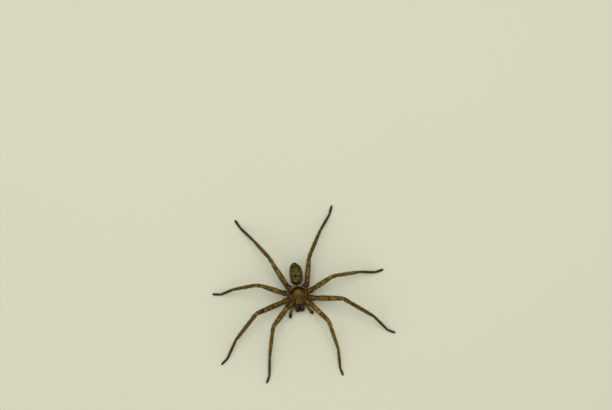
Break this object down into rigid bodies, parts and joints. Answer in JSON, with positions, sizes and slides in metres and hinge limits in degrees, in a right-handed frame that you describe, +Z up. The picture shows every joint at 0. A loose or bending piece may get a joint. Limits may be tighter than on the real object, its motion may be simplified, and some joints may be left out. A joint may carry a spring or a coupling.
{
  "type": "huntsman spider",
  "caption": "Life-size huntsman spider at rest, flat-bodied, with its long spiny legs spread sideways like a crab's and its feet on one level.",
  "frame": {"origin": "centre of the whole animal's box, on the floor under its feet", "axes": "+Z up from the floor, head towards -Y, abdomen towards +Y, the spider's left side towards +X"},
  "size_m": [0.0892, 0.0856, 0.0117],
  "materials": {
    "carapace": "satin",
    "sternum": "satin",
    "abdomen": "matte",
    "spinnerets": "matte",
    "chelicera": "satin",
    "fang": "gloss",
    "eye": "gloss",
    "palp": "matte",
    "leg": "matte",
    "leg_end": "matte"
  },
  "bodies": {
    "root": {"abdomen": "abdomen", "carapace": "carapace", "chelicera_left": "chelicera", "chelicera_right": "chelicera", "eye_anterior_lateral_left": "eye", "eye_anterior_lateral_right": "eye", "eye_anterior_median_left": "eye", "eye_anterior_median_right": "eye", "eye_posterior_lateral_left": "eye", "eye_posterior_lateral_right": "eye", "eye_posterior_median_left": "eye", "eye_posterior_median_right": "eye", "fang_left": "fang", "fang_right": "fang", "leg_left_1_femur": "leg", "leg_left_1_metatarsus": "leg_end", "leg_left_1_tarsus": "leg_end", "leg_left_1_tibia": "leg", "leg_left_2_femur": "leg", "leg_left_2_metatarsus": "leg_end", "leg_left_2_tarsus": "leg_end", "leg_left_2_tibia": "leg", "leg_left_3_femur": "leg", "leg_left_3_metatarsus": "leg_end", "leg_left_3_tarsus": "leg_end", "leg_left_3_tibia": "leg", "leg_left_4_femur": "leg", "leg_left_4_metatarsus": "leg_end", "leg_left_4_tarsus": "leg_end", "leg_left_4_tibia": "leg", "leg_right_1_femur": "leg", "leg_right_1_metatarsus": "leg_end", "leg_right_1_tarsus": "leg_end", "leg_right_1_tibia": "leg", "leg_right_2_femur": "leg", "leg_right_2_metatarsus": "leg_end", "leg_right_2_tarsus": "leg_end", "leg_right_2_tibia": "leg", "leg_right_3_femur": "leg", "leg_right_3_metatarsus": "leg_end", "leg_right_3_tarsus": "leg_end", "leg_right_3_tibia": "leg", "leg_right_4_femur": "leg", "leg_right_4_metatarsus": "leg_end", "leg_right_4_tarsus": "leg_end", "leg_right_4_tibia": "leg", "palp_left": "palp", "palp_right": "palp", "pedicel": "abdomen", "spinnerets": "spinnerets", "sternum": "sternum"}
  },
  "joints": []
}
